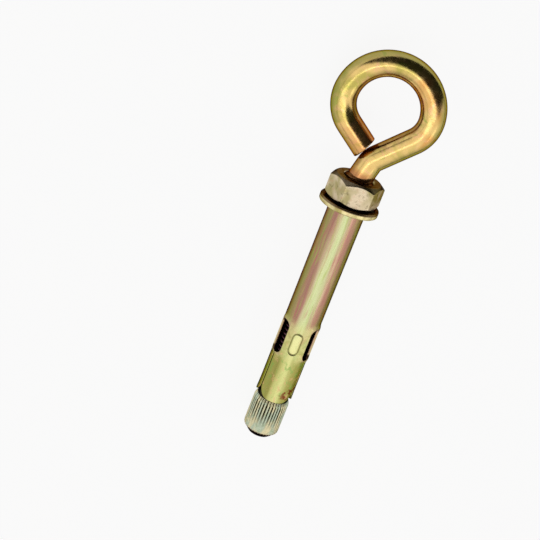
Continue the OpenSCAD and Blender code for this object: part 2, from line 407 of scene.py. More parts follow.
def mark_sides(mesh, route):
    """Notes how far each point lies along the bar and towards the eye's inside."""
    sides = len(mesh.vertices) // len(route)
    inward = mesh.attributes.new("inward", "FLOAT", "POINT")
    along_it = mesh.attributes.new("along", "FLOAT", "POINT")
    gone = 0.0
    for k, (x, z) in enumerate(route):
        ahead, behind = route[min(k + 1, len(route) - 1)], route[max(k - 1, 0)]
        way = Vector((ahead[0] - behind[0], 0, ahead[1] - behind[1])).normalized()
        side = Vector((-way.z, 0, way.x))
        gone += math.dist(route[k], route[max(k - 1, 0)])
        for i in range(k * sides, (k + 1) * sides):
            aside = mesh.vertices[i].co - Vector((x, 0, z))
            inward.data[i].value = aside.dot(side) / ROD_R
            along_it.data[i].value = gone


def shear_tail(mesh, route, tail_from, reach, tail_way, way):
    """Slants the tail's rings so that its end lies along the elbow, with a soft rim."""
    sides = len(mesh.vertices) // len(route)
    axis = Vector((tail_way[0], 0, tail_way[1]))
    across = Vector((way[0], 0, way[1]))
    start = Vector((route[tail_from][0], 0, route[tail_from][1]))
    for k in range(tail_from, len(route)):
        length = math.dist(route[k], route[tail_from])
        left = min(reach - length, TAIL_ROUND)
        bite = TAIL_ROUND - math.sqrt(TAIL_ROUND**2 - (TAIL_ROUND - left) ** 2)
        shrink = 1 - bite / ROD_R
        for vertex in mesh.vertices[k * sides : (k + 1) * sides]:
            aside = (vertex.co - start - axis * length) * shrink
            slant = 1 - aside.dot(across) / axis.dot(across) / reach
            vertex.co = start + axis * length * slant + aside


# the rolled thread
def thread_radius(tree, crest, root, off_crest, height, length):
    """How far out the thread stands, with its flanks, end chamfer and run-out."""
    depth = maths(tree, "SUBTRACT", crest, root)
    flank = maths(tree, "SUBTRACT", CREST_HALF + FLANK, off_crest)
    rise = maths(tree, "DIVIDE", flank, FLANK, clamp=True)
    radius = maths(tree, "MULTIPLY_ADD", rise, depth, root)
    chamfer = maths(tree, "ADD", height, CREST_R - TIP_CHAMFER)
    radius = maths(tree, "MINIMUM", radius, chamfer)
    run_out = maths(tree, "MULTIPLY", maths(tree, "SUBTRACT", length, height), RUN_OUT_SLOPE)
    under_bar = maths(tree, "ADD", run_out, ROD_R - RUN_OUT_SUNK)
    return maths(tree, "MINIMUM", radius, under_bar)


def thread_tree(bottom, top):
    """A screw thread as one sheet: columns go round it and rows climb with its pitch."""
    turns = math.ceil((top - bottom) / PITCH) + 2
    tree = node_tree("rolled_thread")
    tree_input(tree, "Nothing", "NodeSocketGeometry")
    tree_input(tree, "Pitch", "NodeSocketFloat", PITCH)
    tree_input(tree, "Crest radius", "NodeSocketFloat", CREST_R)
    tree_input(tree, "Root radius", "NodeSocketFloat", ROOT_R)
    tree_input(tree, "Finish", "NodeSocketMaterial")
    tree.interface.new_socket(
        name="Thread", in_out="OUTPUT", socket_type="NodeSocketGeometry"
    )
    way_in = tree.nodes.new("NodeGroupInput")
    way_out = tree.nodes.new("NodeGroupOutput")
    pitch = way_in.outputs["Pitch"]
    crest = way_in.outputs["Crest radius"]
    root = way_in.outputs["Root radius"]
    grid = tree.nodes.new("GeometryNodeMeshGrid")
    grid.inputs["Size X"].default_value = 1
    grid.inputs["Size Y"].default_value = 1
    grid.inputs["Vertices X"].default_value = THREAD_SIDES + 1
    grid.inputs["Vertices Y"].default_value = turns * ROWS_PER_TURN + 1
    split = tree.nodes.new("ShaderNodeSeparateXYZ")
    place = tree.nodes.new("GeometryNodeInputPosition")
    tree.links.new(place.outputs[0], split.inputs[0])
    round_it = maths(tree, "ADD", split.outputs[0], 0.5)
    climb = maths(tree, "MULTIPLY_ADD", split.outputs[1], turns, turns / 2 - 1)
    raw = maths(tree, "MULTIPLY", maths(tree, "ADD", climb, round_it), pitch)
    height = maths(tree, "MAXIMUM", maths(tree, "MINIMUM", raw, top - bottom), 0.0)
    phase = maths(
        tree, "FRACT", maths(tree, "SUBTRACT", maths(tree, "DIVIDE", height, pitch), round_it)
    )
    off_crest = maths(
        tree, "MULTIPLY", maths(tree, "ABSOLUTE", maths(tree, "SUBTRACT", phase, 0.5)), pitch
    )
    radius = thread_radius(tree, crest, root, off_crest, height, top - bottom)
    angle = maths(tree, "MULTIPLY", round_it, 2 * math.pi)
    point = tree.nodes.new("ShaderNodeCombineXYZ")
    tree.links.new(
        maths(tree, "MULTIPLY", radius, maths(tree, "COSINE", angle)), point.inputs[0]
    )
    tree.links.new(
        maths(tree, "MULTIPLY", radius, maths(tree, "SINE", angle)), point.inputs[1]
    )
    tree.links.new(maths(tree, "ADD", height, bottom), point.inputs[2])
    move = tree.nodes.new("GeometryNodeSetPosition")
    tree.links.new(grid.outputs["Mesh"], move.inputs["Geometry"])
    tree.links.new(point.outputs[0], move.inputs["Position"])
    weld = tree.nodes.new("GeometryNodeMergeByDistance")
    weld.inputs["Distance"].default_value = 2e-4
    tree.links.new(move.outputs[0], weld.inputs["Geometry"])
    ending(tree, weld.outputs[0], way_out, way_in.outputs["Finish"])
    return tree


def close_holes(obj):
    """Fills what is open, such as a thread's two ends."""
    work = bmesh.new()
    work.from_mesh(obj.data)
    bmesh.ops.dissolve_degenerate(work, edges=work.edges, dist=1e-5)
    open_edges = [e for e in work.edges if len(e.link_faces) == 1]
    bmesh.ops.holes_fill(work, edges=open_edges, sides=0)
    work.to_mesh(obj.data)
    work.free()


def make_thread(material):
    seed = new_object("thread_seed", [(0, 0, 0)], [])
    tree = thread_tree(BOLT_END, THREAD_TOP)
    obj = grown("rod_thread", seed, tree, {"Finish": material})
    close_holes(obj)
    return obj


# nut and washer
def nut_angles():
    """Angles round the nut, close together at its six corners."""
    offsets = [-30, -29.4, -28.8, -28, -26]
    offsets += [-22 + 4 * i for i in range(12)]
    offsets += [26, 28, 28.8, 29.4]
    return [math.radians(NUT_TURN + 30 + 60 * k + o) for k in range(6) for o in offsets]


def nut_side(angle):
    """How far out the nut's side stands, with softly rounded corners."""
    off = (math.degrees(angle) - NUT_TURN) % 60 - 30
    flat = NUT_AF / 2 / math.cos(math.radians(off))
    corner = NUT_AF / math.sqrt(3) - 0.09
    soft = 0.05
    return -soft * math.log(math.exp(-flat / soft) + math.exp(-corner / soft))


def make_nut():
    slope = math.tan(math.radians(NUT_CHAMFER))
    face_r = NUT_AF / 2 - NUT_STEP
    top, low = NUT_TOP, WASHER_T

    def section(angle):
        side = nut_side(angle)
        drop = (side - face_r) * slope
        corners = [
            (BORE_R, low + SINK_H),
            (BORE_R + SINK_H, low),
            (face_r, low),
            (side, low + drop),
            (side, top - drop),
            (face_r, top),
            (BORE_R + SINK_H, top),
            (BORE_R, top - SINK_H),
        ]
        return rounded(corners, [0.05, 0.08, 0.15, 0.16, 0.16, 0.15, 0.08, 0.05])

    return turned("nut_body", nut_angles(), section)


def make_washer():
    corners = [
        (WASHER_HOLE_R, 0),
        (WASHER_R, 0),
        (WASHER_R, WASHER_T),
        (WASHER_HOLE_R, WASHER_T),
    ]
    section = rounded(corners, [0.15, 0.42, WASHER_ROUND, 0.3], steps=6)
    angles = [2 * math.pi * i / 160 for i in range(160)]
    return turned("washer_ring", angles, lambda a: section)


# the rolled sleeve
SHEET_PITCH = 2 * math.pi * SLEEVE_R / LEAVES
MARK_MIDDLES = [(k + 0.5) * SHEET_PITCH for k in range(LEAVES)]
EDGE_STEPS = [0.0, 0.02, 0.05, 0.1, 0.17]
GROOVE_STEPS = [-0.5, -0.34, -0.25, -0.17, -0.08, 0, 0.08, 0.17, 0.25, 0.34, 0.5]
CELL_ROUND = 0.27
CELL_HIGH = 0.55
BUCKET = 0.6
EDGE_CLEAR = 0.2
MARK_CLEAR = 0.62
MARK_SUNK = 0.15
FLARE_REACH = 1.3
DROP_SHARE = 0.42
DROP_HEIGHT = 5
OUTER_SOFT = 0.12
INNER_SOFT = 0.06


def along(x):
    """Distance round the sleeve's outer side for a straight distance across it."""
    return SLEEVE_R * math.asin(x / SLEEVE_R)


def half_gap(top_x):
    """Right half of a gap between two leaves, from its top down to the tips."""
    half_w, half_len = WINDOW_W / 2, WINDOW_LEN / 2
    r, slit = WINDOW_ROUND, SLIT_W / 2
    top, low = WINDOW_Z + half_len, WINDOW_Z - half_len
    points = line((top_x, top), (half_w - r, top), 0.3)
    points += arc((half_w - r, top - r), r, 90, 0, 0.14)[1:]
    points += line((half_w, top - r), (half_w, low + r), 0.5)[1:]
    points += arc((half_w - r, low + r), r, 0, -90, 0.14)[1:]
    points += line((half_w - r, low), (slit, low), 0.2)[1:]
    corner = slit / 2 + TIP_ROUND
    lift = TIP_ROUND - math.sqrt(TIP_ROUND**2 - (corner - slit) ** 2)
    start = math.degrees(math.atan2(lift - TIP_ROUND, slit - corner)) % 360
    points += line((slit, low), (slit, TIPS_Z + lift), 0.5)[1:]
    points += arc((corner, TIPS_Z + TIP_ROUND), TIP_ROUND, start, 270, 0.2)[1:]
    return [(along(x), z) for x, z in points]


def sheet_outline():
    """Outline of the sleeve's sheet laid flat: round it from the seam, and height."""
    seam = along(SEAM_W / 2)
    top = -SEAT_GAP
    window_top = WINDOW_Z + WINDOW_LEN / 2
    down = line((seam, top), (seam, window_top), 0.5) + half_gap(SEAM_W / 2)[1:]
    whole = half_gap(0.0)
    outline = list(down)
    for k in range(1, LEAVES):
        middle = k * SHEET_PITCH
        left = [(middle - s, z) for s, z in reversed(whole)]
        outline += line(outline[-1], left[0], 0.3)[1:-1]
        outline += left + [(middle + s, z) for s, z in whole[1:]]
    full = LEAVES * SHEET_PITCH
    last = [(full - s, z) for s, z in reversed(down)]
    outline += line(outline[-1], last[0], 0.3)[1:-1] + last
    outline += line(last[-1], outline[0], 0.3)[1:-1]
    return outline


def inset(outline, distance):
    """The outline moved inwards; it runs with the sheet on its left."""
    n = len(outline)
    out = []
    for i in range(n):
        a, b, c = Vector(outline[i - 1]), Vector(outline[i]), Vector(outline[(i + 1) % n])
        u, v = (b - a).normalized(), (c - b).normalized()
        nu, nv = Vector((-u.y, u.x)), Vector((-v.y, v.x))
        mid = nu + nv
        mid /= max(mid.dot(mid) / 2, 0.35)
        out.append(tuple(b + mid * distance))
    return out


def oval_distance(s, z, centre):
    """Signed distance from the middle of an oval mark's groove."""
    straight = (MARK_LEN - MARK_W) / 2
    dz = max(abs(z - MARK_Z) - straight, 0)
    return math.hypot(s - centre, dz) - (MARK_W - MARK_LINE) / 2


def oval_ring(centre, offset, count=64):
    straight = (MARK_LEN - MARK_W) / 2
    r = (MARK_W - MARK_LINE) / 2 + offset
    top, low = MARK_Z + straight, MARK_Z - straight
    step = 2 * math.pi * r / count
    ring = arc((centre, top), r, 0, 180, step)
    ring += line((centre - r, top), (centre - r, low), 0.3)[1:-1]
    ring += arc((centre, low), r, 180, 360, step)
    ring += line((centre + r, low), (centre + r, top), 0.3)[1:-1]
    return ring


def off_mark(s, z):
    """Signed distance from the groove of the nearest mark."""
    return min((oval_distance(s, z, middle) for middle in MARK_MIDDLES), key=abs)


def near_test(points, reach):
    """A test of whether a place is within reach of any of the points."""
    buckets = {}
    for p in points:
        buckets.setdefault((int(p[0] // BUCKET), int(p[1] // BUCKET)), []).append(p)

    def near(s, z):
        i, j = int(s // BUCKET), int(z // BUCKET)
        return any(
            math.dist((s, z), q) < reach
            for a in (i - 1, i, i + 1)
            for b in (j - 1, j, j + 1)
            for q in buckets.get((a, b), ())
        )

    return near


def sheet_filling(inner):
    """Points inside the last edge ring: the marks' own rings and a staggered grid."""
    filling = []
    for centre in MARK_MIDDLES:
        for offset in GROOVE_STEPS:
            filling += [Vector(p) for p in oval_ring(centre, offset)]
    near_edge = near_test(inner, EDGE_CLEAR)
    for i in range(int(LEAVES * SHEET_PITCH / CELL_ROUND)):
        for j in range(int(SLEEVE_LEN / CELL_HIGH)):
            s = (i + 0.5) * CELL_ROUND
            z = TIPS_Z + (j + 0.5 + 0.5 * (i % 2)) * CELL_HIGH
            if abs(off_mark(s, z)) > MARK_CLEAR and not near_edge(s, z):
                filling.append(Vector((s, z)))
    return filling


def flat_sheet():
    """The sheet laid flat: its points, each with its distance from the edge, and faces."""
    outline = sheet_outline()
    rings = [inset(outline, d) for d in EDGE_STEPS]
    n = len(outline)
    fill = [Vector(p) for p in rings[-1]] + sheet_filling(rings[-1])
    edges = [(i, (i + 1) % n) for i in range(n)]
    made, _, tris, origin, _, _ = delaunay_2d_cdt(fill, edges, [], 1, 1e-6)
    flat = [(p, d) for ring, d in zip(rings, EDGE_STEPS) for p in ring]
    base = (len(EDGE_STEPS) - 1) * n
    index = {}
    for k, source in enumerate(origin):
        on_ring = [s for s in source if s < n]
        if on_ring:
            index[k] = base + on_ring[0]
        else:
            index[k] = len(flat)
            flat.append((tuple(made[k]), 1.0))
    cover = []
    for k in range(len(EDGE_STEPS) - 1):
        for i in range(n):
            j = (i + 1) % n
            cover.append((k * n + i, k * n + j, (k + 1) * n + j, (k + 1) * n + i))
    cover += [tuple(index[v] for v in tri) for tri in tris]
    return flat, cover, n


def flare(s, z):
    """The sheet stands out a little where the windows were punched."""
    off_window = abs(z - WINDOW_Z) - WINDOW_LEN / 2
    half = SHEET_PITCH / 2
    from_gap = abs((s + half) % SHEET_PITCH - half) - WINDOW_W / 2
    if off_window > 1.0 or from_gap > FLARE_REACH:
        return 0.0
    fade = 1 - max(from_gap, 0) / FLARE_REACH
    ends = min(1.0, 1 - off_window) if off_window > 0 else 1.0
    return LIP_FLARE * fade * fade * ends


def drop(s, z):
    """The leaf tips are drawn down a little in their middle, over the cone."""
    across = ((s % SHEET_PITCH) / SHEET_PITCH - 0.5) / DROP_SHARE
    low = max(0.0, 1 - (z - TIPS_Z) / DROP_HEIGHT)
    return TIP_DROP * low * low * max(0.0, 1 - across * across)


def rolled_side(flat, outer):
    """One side of the sheet, rolled round the axis."""
    seam_turn = math.radians(WINDOW_TURN - 360 / LEAVES)
    soft = OUTER_SOFT if outer else INNER_SOFT
    points = []
    for (s, z), d in flat:
        r = SLEEVE_R if outer else SLEEVE_R - SLEEVE_T
        fall = soft - math.sqrt(max(soft**2 - max(soft - d, 0) ** 2, 0))
        r += -fall if outer else fall
        r += flare(s, z) + 0.3 * drop(s, z)
        off = off_mark(s, z)
        if outer:
            if abs(off) < MARK_SPREAD:
                dip = math.cos(off / MARK_SPREAD * math.pi / 2) ** 2
                r -= MARK_DEPTH * dip
        elif off < 0:
            r -= min(-off, MARK_SUNK)
        a = seam_turn + s / SLEEVE_R
        points.append((r * math.cos(a), r * math.sin(a), z - drop(s, z)))
    return points


def make_sleeve():
    flat, cover, n = flat_sheet()
    verts = rolled_side(flat, True) + rolled_side(flat, False)
    m = len(flat)
    faces = list(cover) + [tuple(m + v for v in reversed(f)) for f in cover]
    for i in range(n):
        j = (i + 1) % n
        faces.append((i, m + i, m + j, j))
    obj = new_object("sleeve_sheet", verts, faces)
    mark = obj.data.attributes.new("mark", "FLOAT", "POINT")
    lip = obj.data.attributes.new("lip", "FLOAT", "POINT")
    for i, ((s, z), _) in enumerate(flat):
        for k in (i, m + i):
            mark.data[k].value = off_mark(s, z)
            lip.data[k].value = flare(s, z) / LIP_FLARE
    return obj


# the knurled cone nut
def tooth(low, high):
    """One tooth of the knurl, lying along the axis at angle zero."""
    half = math.pi * (KNURL_R - KNURL_DEPTH) / KNURL_TEETH * 1.04
    section = [
        (-0.42, -half),
        (-0.27, -half * 0.9),
        (-0.1, -half * 0.45),
        (-0.02, -half * 0.2),
        (0, 0),
        (-0.02, half * 0.2),
        (-0.1, half * 0.45),
        (-0.27, half * 0.9),
        (-0.42, half),
    ]
    straight = SHOULDER_Z - 0.15
    heights = [(low, KNURL_R - 0.42), (low + 0.12, KNURL_R - 0.26)]
    heights += [(low + 0.34, KNURL_R - 0.07), (low + 0.6, KNURL_R)]
    heights += [
        (low + 0.6 + (straight - low - 0.6) * k / 7, KNURL_R) for k in range(1, 8)
    ]
    for k in range(1, 6):
        z = SHOULDER_Z + (high - SHOULDER_Z) * k / 5
        heights.append((z, cone_radius(z) + 0.1 * (1 - (k / 5) ** 2)))
    verts, faces = [], []
    rows = len(section)
    for z, crest in heights:
        verts += [(crest + x, y * crest / KNURL_R, z) for x, y in section]
    for k in range(len(heights) - 1):
        for i in range(rows):
            j = (i + 1) % rows
            faces.append(
                (k * rows + i, k * rows + j, (k + 1) * rows + j, (k + 1) * rows + i)
            )
    faces.append(tuple(range(rows)))
    faces.append(tuple((len(heights) - 1) * rows + i for i in reversed(range(rows))))
    return new_object("knurl_tooth", verts, faces)


def cone_radius(z):
    return KNURL_R - (z - SHOULDER_Z) * CONE_RUN


def knurl_tree():
    """Sets a tooth at even angles round the axis and adds the core they stand on."""
    tree = node_tree("straight_knurl")
    tree_input(tree, "Core", "NodeSocketGeometry")
    tree_input(tree, "Tooth", "NodeSocketObject")
    tree_input(tree, "Teeth", "NodeSocketInt", KNURL_TEETH)
    tree_input(tree, "Finish", "NodeSocketMaterial")
    tree.interface.new_socket(
        name="Knurl", in_out="OUTPUT", socket_type="NodeSocketGeometry"
    )
    way_in = tree.nodes.new("NodeGroupInput")
    way_out = tree.nodes.new("NodeGroupOutput")
    points = tree.nodes.new("GeometryNodePoints")
    which = tree.nodes.new("GeometryNodeInputIndex")
    turn = tree.nodes.new("ShaderNodeCombineXYZ")
    tooth_info = tree.nodes.new("GeometryNodeObjectInfo")
    copies = tree.nodes.new("GeometryNodeInstanceOnPoints")
    join = tree.nodes.new("GeometryNodeJoinGeometry")
    share = maths(tree, "DIVIDE", which.outputs[0], way_in.outputs["Teeth"])
    uneven = tree.nodes.new("FunctionNodeRandomValue")
    uneven.data_type = "FLOAT"
    uneven.inputs["Min"].default_value = -KNURL_UNEVEN
    uneven.inputs["Max"].default_value = KNURL_UNEVEN
    uneven.inputs["Seed"].default_value = 7
    even = maths(tree, "MULTIPLY", share, 2 * math.pi)
    tree.links.new(maths(tree, "ADD", even, uneven.outputs[1]), turn.inputs[2])
    tree.links.new(way_in.outputs["Teeth"], points.inputs["Count"])
    tree.links.new(way_in.outputs["Tooth"], tooth_info.inputs["Object"])
    tree.links.new(points.outputs[0], copies.inputs["Points"])
    tree.links.new(tooth_info.outputs["Geometry"], copies.inputs["Instance"])
    tree.links.new(turn.outputs[0], copies.inputs["Rotation"])
    tree.links.new(way_in.outputs["Core"], join.inputs[0])
    tree.links.new(copies.outputs[0], join.inputs[0])
    ending(tree, join.outputs[0], way_out, way_in.outputs["Finish"])
    return tree


def make_cone_nut(material):
    core = KNURL_R - KNURL_DEPTH
    corners = [
        (BORE_R, FOOT_Z + 0.3),
        (BORE_R + 0.3, FOOT_Z),
        (KNURL_R - FOOT_CHAMFER, FOOT_Z),
        (KNURL_R - 0.06, FOOT_Z + FOOT_CHAMFER * 0.85),
        (KNURL_R - 0.07, FOOT_Z + 1.6),
        (core, SHOULDER_Z - 0.6),
        (cone_radius(SHOULDER_Z + 0.5) - 0.24, SHOULDER_Z + 0.5),
        (cone_radius(SHOULDER_Z + 1.3) - 0.2, SHOULDER_Z + 1.3),
        (cone_radius(TIPS_Z) - 0.05, TIPS_Z),
        (CONE_TOP_R - 0.03, CONE_TOP),
        (BORE_R, CONE_TOP),
    ]
    fillets = [0.05, 0.08, 0.15, 0.2, 0.8, 0.3, 0.2, 0.2, 0.2, 0.03, 0.02]
    section = rounded(corners, fillets)
    angles = [2 * math.pi * i / 144 for i in range(144)]
    source = turned("cone_core", angles, lambda a: section)
    ridge = tooth(FOOT_Z + 0.05, TIPS_Z - 0.7)
    obj = grown(
        "cone_body", source, knurl_tree(), {"Finish": material, "Tooth": ridge}
    )
    bpy.data.objects.remove(ridge)
    return obj


# helpers for finishes
def seen(red, green, blue):
    """A colour as the eye reads it, 0 to 255, turned into the light it reflects."""

    def linear(c):
        c /= 255
        return c / 12.92 if c <= 0.04045 else ((c + 0.055) / 1.055) ** 2.4

    return (linear(red), linear(green), linear(blue), 1)


def finish(name, edge):
    """A new metal finish; its rims darken towards the edge colour."""
    material = bpy.data.materials.new(name)
    material.use_nodes = True
    tree = material.node_tree
    shader = tree.nodes["Principled BSDF"]
    shader.inputs["Metallic"].default_value = 1.0
    shader.inputs["Specular Tint"].default_value = seen(*edge)
    where = tree.nodes.new("ShaderNodeAttribute")
    where.attribute_name = "upright"
    return material, tree, shader, where.outputs["Vector"]


def apart(tree, vector):
    node = tree.nodes.new("ShaderNodeSeparateXYZ")
    tree.links.new(vector, node.inputs[0])
    return node.outputs


def stretched(tree, vector, x, y, z):
    """The same place with each of its three sizes scaled."""
    node = tree.nodes.new("ShaderNodeVectorMath")
    node.operation = "MULTIPLY"
    tree.links.new(vector, node.inputs[0])
    node.inputs[1].default_value = (x, y, z)
    return node.outputs[0]


def cloud(tree, vector, scale, detail=3.0, rough=0.5, warp=0.0):
    node = tree.nodes.new("ShaderNodeTexNoise")
    node.inputs["Scale"].default_value = scale
    node.inputs["Detail"].default_value = detail
    node.inputs["Roughness"].default_value = rough
    node.inputs["Distortion"].default_value = warp
    tree.links.new(vector, node.inputs["Vector"])
    return node.outputs[0]


def step_up(tree, value, low, high, to=(0.0, 1.0)):
    """Rises smoothly between two levels of a value."""
    node = tree.nodes.new("ShaderNodeMapRange")
    node.interpolation_type = "SMOOTHSTEP"
    tree.links.new(value, node.inputs[0])
    for socket, number in zip(node.inputs[1:5], (low, high, *to)):
        socket.default_value = number
    return node.outputs[0]


def bands(tree, value, stops):
    """Colours along a value from 0 to 1."""
    node = tree.nodes.new("ShaderNodeValToRGB")
    ramp = node.color_ramp
    ramp.interpolation = "EASE"
    while len(ramp.elements) < len(stops):
        ramp.elements.new(0.5)
    for element, (at, colour) in zip(ramp.elements, stops):
        element.position = at
        element.color = seen(*colour)
    tree.links.new(value, node.inputs[0])
    return node.outputs[0]


def blend(tree, share, first, second):
    """Mixes two colours; each is a tuple as seen or another node's output."""
    node = tree.nodes.new("ShaderNodeMix")
    node.data_type = "RGBA"
    tree.links.new(share, node.inputs[0])
    for socket, colour in zip(node.inputs[6:8], (first, second)):
        if isinstance(colour, tuple):
            socket.default_value = seen(*colour)
        else:
            tree.links.new(colour, socket)
    return node.outputs[2]


def turn_about(tree, parts):
    """Angle about the axis as 0 to 1, with 0.5 on the side that faces away from +Y."""
    angle = maths(
        tree, "ARCTAN2", parts[0], maths(tree, "MULTIPLY", parts[1], -1.0)
    )
    return maths(tree, "MULTIPLY_ADD", angle, 0.5 / math.pi, 0.5)


def relief(tree, shader, height, depth):
    """Fine relief, its depth in millimetres."""
    node = tree.nodes.new("ShaderNodeBump")
    node.inputs["Strength"].default_value = 1.0
    node.inputs["Distance"].default_value = depth * MM
    tree.links.new(height, node.inputs["Height"])
    tree.links.new(node.outputs[0], shader.inputs["Normal"])


LEAF_MIDDLE = (WINDOW_TURN + 90 + 180 / LEAVES) / 360 + 0.5
CUT_EDGE = (196, 158, 138)


def from_axis(tree, parts):
    """Distance from the anchor's axis."""
    squares = [maths(tree, "MULTIPLY", parts[i], parts[i]) for i in range(2)]
    return maths(tree, "SQRT", maths(tree, "ADD", *squares))


def noted(tree, name):
    """A number that the mesh carries at each of its points."""
    node = tree.nodes.new("ShaderNodeAttribute")
    node.attribute_name = name
    return node.outputs["Fac"]


def bar_paint():
    """Gold plating with orange, green and rose clouds. The olive outside of the bend is partly
    plating tone, partly painted reflection; the brown inside is partly plating tone, partly
    painted shade.
    """
    material, tree, shader, where = finish("eye_plating", edge=(110, 84, 50))
    parts = apart(tree, where)
    drift = cloud(tree, where, 0.13, 2.0, 0.5, 0.8)
    colour = bands(
        tree, drift, [(0.34, (218, 164, 96)), (0.5, (232, 198, 126)), (0.66, (188, 174, 92))]
    )
    blush = step_up(tree, cloud(tree, where, 0.31, 2.0, 0.5, 1.2), 0.54, 0.7, (0, 0.5))
    colour = blend(tree, blush, colour, (236, 178, 140))
    green = step_up(tree, cloud(tree, where, 0.22, 2.0, 0.5, 1.6), 0.58, 0.7, (0, 0.7))
    colour = blend(tree, green, colour, (164, 176, 84))
    wander = maths(tree, "MULTIPLY_ADD", cloud(tree, where, 0.4), 0.5, -0.25)
    inward = maths(tree, "ADD", noted(tree, "inward"), wander)
    # olive on the outside of the bend: partly plating tone, partly painted reflection
    outer = step_up(tree, inward, -0.35, -0.8, (0.0, 0.7))
    colour = blend(tree, outer, colour, (132, 136, 70))
    # brown on the inside of the bend: partly plating tone, partly painted shade
    rim = step_up(tree, inward, 0.5, 0.9, (0.0, 0.7))
    colour = blend(tree, rim, colour, (120, 78, 40))
    gone = noted(tree, "along")
    heated = step_up(tree, gone, TAIL_STARTS - 6, TAIL_STARTS + 6, (0.0, 0.5))
    colour = blend(tree, heated, colour, (214, 136, 84))
    foot = step_up(tree, parts[2], 11.5, 9.2, (0.0, 0.7))
    colour = blend(tree, foot, colour, (168, 112, 80))
    speck = step_up(tree, cloud(tree, where, 2.6, 4.0, 0.6), 0.62, 0.75, (0, 0.35))
    colour = blend(tree, speck, colour, (120, 84, 40))
    tree.links.new(colour, shader.inputs["Base Color"])
    gloss = step_up(tree, cloud(tree, where, 0.8, 4.0, 0.6), 0.3, 0.7, (0.13, 0.25))
    tree.links.new(gloss, shader.inputs["Roughness"])
    relief(tree, shader, cloud(tree, where, 1.1, 4.0, 0.6), 0.02)
    return material


def thread_paint():
    """Dark thread with a violet tint, darkest in its roots, which is partly its own tone and
    partly painted shade; plating shows on the last turns near the nut.
    """
    material, tree, shader, where = finish("thread_plating", edge=(60, 46, 46))
    parts = apart(tree, where)
    # lighter crests over near-black roots: painted shade in the thread's grooves, over its own
    # dark tone
    crest = step_up(tree, from_axis(tree, parts), ROOT_R + 0.2, CREST_R - 0.04)
    colour = blend(tree, crest, (26, 16, 20), (112, 80, 90))
    top = step_up(tree, parts[2], 0.0, 5.0)
    colour = blend(tree, top, colour, (120, 84, 52))
    patch = step_up(tree, cloud(tree, where, 0.9, 3.0), 0.45, 0.7, (0, 0.5))
    colour = blend(tree, patch, colour, (58, 44, 34))
    tree.links.new(colour, shader.inputs["Base Color"])
    gloss = step_up(tree, cloud(tree, where, 2.0), 0.3, 0.7, (0.28, 0.45))
    tree.links.new(gloss, shader.inputs["Roughness"])
    return material


def nut_paint():
    """Dull straw plating, mottled olive and rose. The dark chamfers are painted shade, and the
    browner end faces are partly a brown tone, partly painted shade.
    """
    material, tree, shader, where = finish("nut_plating", edge=(110, 100, 84))
    parts = apart(tree, where)
    drift = cloud(tree, where, 0.2, 2.0, 0.5, 0.6)
    colour = bands(tree, drift, [(0.38, (178, 166, 118)), (0.62, (224, 206, 176))])
    mottle = cloud(tree, where, 0.8, 3.0, 0.6, 0.5)
    stain = step_up(tree, mottle, 0.44, 0.3, (0.0, 0.5))
    colour = blend(tree, stain, colour, (104, 92, 60))
    flush = step_up(tree, mottle, 0.56, 0.7, (0.0, 0.5))
    colour = blend(tree, flush, colour, (204, 160, 128))
    end = maths(tree, "ABSOLUTE", maths(tree, "SUBTRACT", parts[2], WASHER_T + NUT_H / 2))
    slope = math.tan(math.radians(NUT_CHAMFER))
    lip = maths(tree, "MULTIPLY_ADD", from_axis(tree, parts), slope, end)
    edge_at = NUT_H / 2 + (NUT_AF / 2 - NUT_STEP) * slope
    # painted shade: the chamfers are darkened
    chamfer = step_up(tree, lip, edge_at - 0.16, edge_at - 0.02, (0.0, 0.8))
    colour = blend(tree, chamfer, colour, (52, 40, 28))
    # browner end faces: partly a brown tone, partly painted shade
    top = step_up(tree, end, NUT_H / 2 - 0.1, NUT_H / 2 - 0.02, (0.0, 0.9))
    colour = blend(tree, top, colour, (142, 118, 82))
    tree.links.new(colour, shader.inputs["Base Color"])
    gloss = step_up(tree, cloud(tree, where, 0.9, 4.0), 0.3, 0.7, (0.26, 0.4))
    tree.links.new(gloss, shader.inputs["Roughness"])
    drawn = cloud(tree, stretched(tree, where, 1, 1, 0.12), 5.0, 3.0)
    relief(tree, shader, drawn, 0.02)
    return material


def washer_paint():
    """Pale yellow rim with olive clouds; the upper side and the top of the rim are browned with
    painted shade from the nut.
    """
    material, tree, shader, where = finish("washer_plating", edge=(76, 64, 42))
    parts = apart(tree, where)
    drift = cloud(tree, where, 0.3, 2.0, 0.5, 0.5)
    colour = bands(tree, drift, [(0.36, (180, 166, 104)), (0.6, (240, 226, 170))])
    patch = step_up(tree, cloud(tree, where, 0.5, 3.0, 0.5, 0.5), 0.5, 0.72, (0, 0.5))
    colour = blend(tree, patch, colour, (184, 150, 110))
    # painted shade: the upper side and the top of the rim are darkened brown, next to the nut
    top = step_up(tree, parts[2], WASHER_T - 0.66, WASHER_T - 0.4, (0.0, 0.85))
    colour = blend(tree, top, colour, (96, 68, 48))
    tree.links.new(colour, shader.inputs["Base Color"])
    gloss = step_up(tree, cloud(tree, where, 1.4, 4.0), 0.3, 0.7, (0.2, 0.34))
    tree.links.new(gloss, shader.inputs["Roughness"])
    relief(tree, shader, cloud(tree, where, 2.0, 4.0, 0.6), 0.015)
    return material


def leaf_colours(tree, where, across):
    """Olive leaves, straw down their middles, with green and salmon spots."""
    colour = bands(tree, across, [(0.0, (222, 222, 146)), (0.5, (160, 160, 82))])
    spots = cloud(tree, stretched(tree, where, 1, 1, 0.6), 0.75, 3.0, 0.5, 0.5)
    green = step_up(tree, spots, 0.55, 0.66, (0, 0.6))
    colour = blend(tree, green, colour, (130, 172, 84))
    salmon = step_up(tree, spots, 0.42, 0.33, (0, 0.55))
    return blend(tree, salmon, colour, (226, 176, 130))


